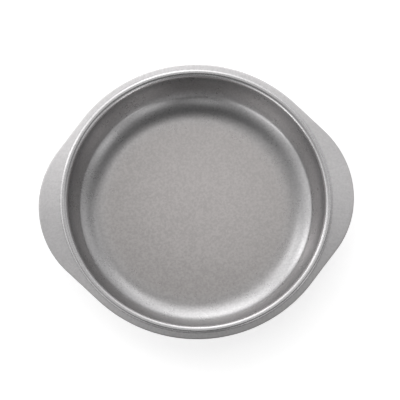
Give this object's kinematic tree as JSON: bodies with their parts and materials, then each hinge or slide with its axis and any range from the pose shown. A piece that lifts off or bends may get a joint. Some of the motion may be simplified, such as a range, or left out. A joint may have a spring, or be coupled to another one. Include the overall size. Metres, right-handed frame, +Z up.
{
  "type": "camping plate",
  "caption": "Round steel camping plate pressed from one sheet: flat floor, steep wall, raised lip and a sloping flange that widens into grip ears.",
  "frame": {"origin": "centre of the underside of the floor, on the surface that the plate stands on", "axes": "+Z up out of the bowl, +X and -X along the two ears, Y across them"},
  "size_m": [0.231, 0.208, 0.0308],
  "materials": {
    "steel": "tumbled satin stainless steel"
  },
  "bodies": {
    "root": {"plate": "steel"}
  },
  "joints": []
}
